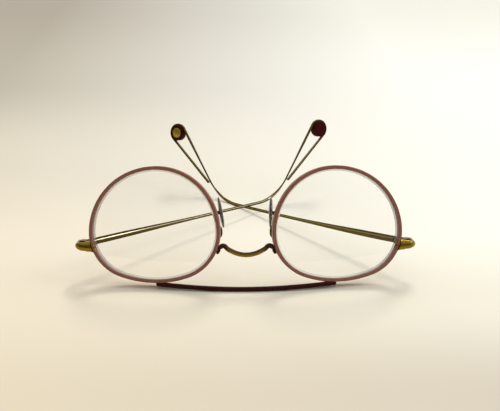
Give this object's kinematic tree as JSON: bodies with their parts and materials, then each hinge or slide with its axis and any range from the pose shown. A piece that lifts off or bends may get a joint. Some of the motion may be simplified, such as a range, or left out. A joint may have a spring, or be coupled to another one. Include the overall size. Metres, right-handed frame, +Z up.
{
  "type": "eyeglass frame",
  "caption": "Round wire eyeglasses with a brow bar, a saddle bridge, slim ribbon temples looped round a drum at their tips and clear nose pads, lying upside down and half folded.",
  "frame": {"origin": "middle of the small flat on the brow bar's underside, on the surface the frame lies on", "axes": "+X across the frame from the wearer's right temple to the left one as seen from the front, +Y from the brow bar back along the temples, +Z up from the surface"},
  "size_m": [0.1348, 0.1169, 0.0454],
  "materials": {
    "gold": "satin",
    "rim_enamel": "satin",
    "bar_enamel": "gloss",
    "bridge_metal": "satin",
    "lens_glass": "clear, thin anti-reflection coat",
    "screws": "satin",
    "rivets": "dark",
    "temple_metal": "satin",
    "drum_lacquer": "gloss",
    "medallion_metal": "satin",
    "pad_mount": "satin",
    "pad_silicone": "clear, soft"
  },
  "bodies": {
    "front": {"rim_left": "rim_enamel", "rim_right": "rim_enamel", "lens_left": "lens_glass", "lens_right": "lens_glass", "brow_bar": "bar_enamel", "bridge": "bridge_metal", "end_piece_left": "gold", "end_piece_right": "gold", "lock_brow_left": "gold", "lock_brow_right": "gold", "lock_cheek_left": "gold", "lock_cheek_right": "gold", "lock_screw_left": "screws", "lock_screw_right": "screws", "hinge_left": "gold", "hinge_right": "gold", "hinge_screw_left": "screws", "hinge_screw_right": "screws", "pad_arm_left": "gold", "pad_arm_right": "gold", "pad_fork_left": "pad_mount", "pad_fork_right": "pad_mount", "pad_screw_left": "screws", "pad_screw_right": "screws"},
    "temple_left": {"temple_left": "temple_metal", "temple_joint_left": "gold", "rivet_left": "rivets", "drum_left": "drum_lacquer", "medallion_left": "medallion_metal"},
    "temple_right": {"temple_right": "temple_metal", "temple_joint_right": "gold", "rivet_right": "rivets", "drum_right": "drum_lacquer", "medallion_right": "medallion_metal"},
    "pad_left": {"pad_core_left": "pad_mount", "nose_pad_left": "pad_silicone"},
    "pad_right": {"pad_core_right": "pad_mount", "nose_pad_right": "pad_silicone"}
  },
  "joints": [
    {"name": "temple_right_fold", "type": "hinge", "parent": "front", "child": "temple_right", "pos_m": [0.0648, 0.01528, 0.01357], "axis": [0, -0.1771, -0.9842], "range_deg": [-33, 55]},
    {"name": "temple_left_fold", "type": "hinge", "parent": "front", "child": "temple_left", "pos_m": [-0.0648, 0.01528, 0.01357], "axis": [0, 0.1771, 0.9842], "range_deg": [-26.4, 44]},
    {"name": "pad_right_rock", "type": "hinge", "parent": "front", "child": "pad_right", "pos_m": [0.0116, 0.01759, 0.02558], "axis": [0.0872, 0.9307, -0.3554], "range_deg": [-1.8, 10.2]},
    {"name": "pad_left_rock", "type": "hinge", "parent": "front", "child": "pad_left", "pos_m": [-0.0116, 0.01759, 0.02558], "axis": [0.0872, -0.9307, 0.3554], "range_deg": [-10.2, 1.8]}
  ],
  "couplings": [
    {"joint": "temple_left_fold", "follows": "temple_right_fold", "ratio": 0.8}
  ]
}
